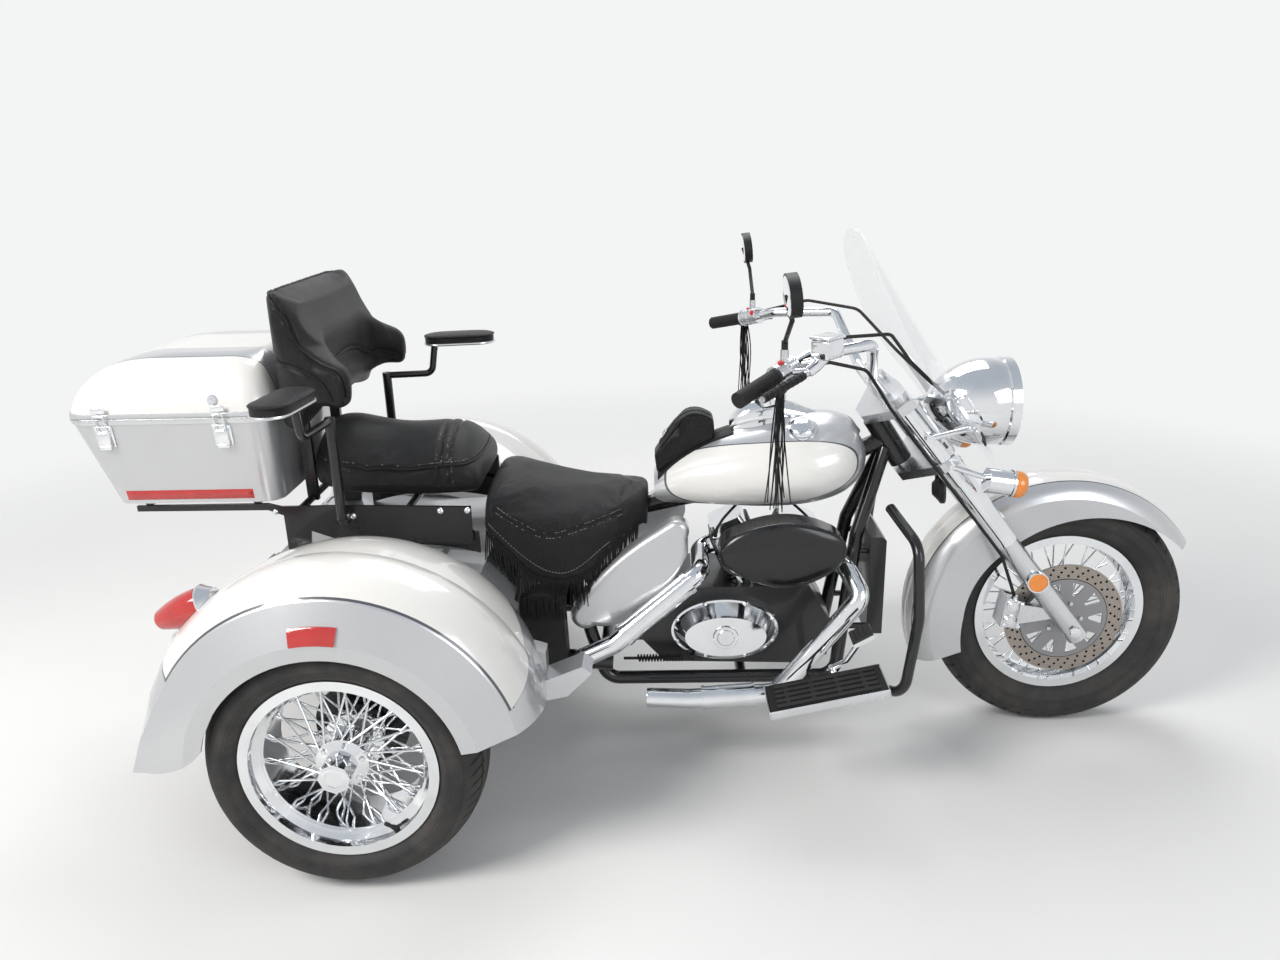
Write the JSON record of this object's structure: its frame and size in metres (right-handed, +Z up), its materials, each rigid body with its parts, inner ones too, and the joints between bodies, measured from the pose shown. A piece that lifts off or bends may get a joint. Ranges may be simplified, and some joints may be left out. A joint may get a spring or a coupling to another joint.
{
  "type": "three-wheeled cruiser motorcycle with a trike body",
  "caption": "Cruiser trike with wire wheels, V-twin engine, arched rear fenders, windshield, wraparound backrest, swinging armrests and a hinged top case.",
  "frame": {"origin": "on the floor under the middle of the length, on the centre plane", "axes": "+X forward, +Y to the rider's left, +Z up"},
  "size_m": [2.7059, 1.408, 1.3073],
  "materials": {
    "tyre": "matt black tyre rubber",
    "chrome": "polished chrome",
    "polished_alloy": "polished alloy",
    "disc_steel": "brushed, browned by heat",
    "frame_black": "gloss black",
    "engine_black": "satin black with polished fin edges",
    "air_box_black": "satin black",
    "silver_paint": "silver metallic with pearl white panels",
    "white_paint": "pearl white with a stripe",
    "case_silver": "silver lacquer",
    "black_leather": "grained, stitched",
    "black_rubber": "moulded",
    "clear_screen": "clear",
    "red_lens": "red lens",
    "amber_lens": "amber lens",
    "black_plastic": "moulded black"
  },
  "bodies": {
    "root": {"frame": "frame_black", "engine_block": "engine_black", "cylinders": "engine_black", "rocker_covers": "chrome", "engine_covers": "chrome", "air_cleaner": "air_box_black", "radiator": "engine_black", "exhaust_pipes": "chrome", "fuel_tank": "silver_paint", "tank_console": "chrome", "tank_pouch": "black_leather", "side_covers": "silver_paint", "rider_seat": "black_leather", "pillion_seat": "black_leather", "backrest": "black_leather", "seat_rails": "frame_black", "case_rack": "frame_black", "top_case": "case_silver", "engine_guard": "frame_black", "floorboards": "black_rubber", "foot_controls": "chrome", "trike_body": "silver_paint", "rear_fenders": "silver_paint", "side_boxes": "black_plastic", "rear_axle": "frame_black", "tail_lamps": "red_lens", "lamp_bases": "chrome"},
    "steering": {"triple_clamps": "polished_alloy", "fork_covers": "chrome", "fork_legs": "polished_alloy", "front_axle": "polished_alloy", "front_fender": "silver_paint", "headlight": "chrome", "front_signals": "chrome", "windshield": "clear_screen", "windshield_brackets": "chrome", "handlebar": "chrome", "grips": "black_rubber", "hand_controls": "polished_alloy", "mirrors": "black_plastic", "front_caliper": "polished_alloy", "fork_reflectors": "amber_lens", "control_cables": "black_rubber", "brake_hose": "black_rubber"},
    "front_wheel": {"front_tyre": "tyre", "front_rim": "chrome", "front_disc": "disc_steel"},
    "rear_wheel_left": {"rear_tyre_left": "tyre", "rear_rim_left": "chrome"},
    "rear_wheel_right": {"rear_tyre_right": "tyre", "rear_rim_right": "chrome"},
    "case_lid": {"case_lid": "white_paint"},
    "trunk_door": {"trunk_door": "silver_paint"},
    "armrest_left": {"armrest_left": "frame_black", "arm_pad_left": "black_leather"},
    "armrest_right": {"armrest_right": "frame_black", "arm_pad_right": "black_leather"}
  },
  "joints": [
    {"name": "steering", "type": "hinge", "parent": "root", "child": "steering", "pos_m": [0.57107, 0, 0.79151], "axis": [-0.549, 0, 0.8358], "range_deg": [-32, 32]},
    {"name": "front_wheel_spin", "type": "hinge", "parent": "steering", "child": "front_wheel", "pos_m": [1.033, 0, 0.32], "axis": [0, 1, 0], "continuous": true},
    {"name": "rear_wheel_left_spin", "type": "hinge", "parent": "root", "child": "rear_wheel_left", "pos_m": [-0.672, 0.585, 0.297], "axis": [0, 1, 0], "continuous": true},
    {"name": "rear_wheel_right_spin", "type": "hinge", "parent": "root", "child": "rear_wheel_right", "pos_m": [-0.672, -0.585, 0.297], "axis": [0, 1, 0], "continuous": true},
    {"name": "case_lid_hinge", "type": "hinge", "parent": "root", "child": "case_lid", "pos_m": [-1.1125, 0.2725, 0.9465], "axis": [-1, 0, 0], "range_deg": [0, 85]},
    {"name": "trunk_door_hinge", "type": "hinge", "parent": "root", "child": "trunk_door", "pos_m": [-0.95345, 0, 0.57278], "axis": [0, 1, 0], "range_deg": [0, 60]},
    {"name": "armrest_left_swing", "type": "hinge", "parent": "root", "child": "armrest_left", "pos_m": [-0.75, 0.243, 0.9], "axis": [0, 0, 1], "range_deg": [0, 90]},
    {"name": "armrest_right_swing", "type": "hinge", "parent": "root", "child": "armrest_right", "pos_m": [-0.75, -0.243, 0.9], "axis": [0, 0, 1], "range_deg": [0, 95]}
  ]
}
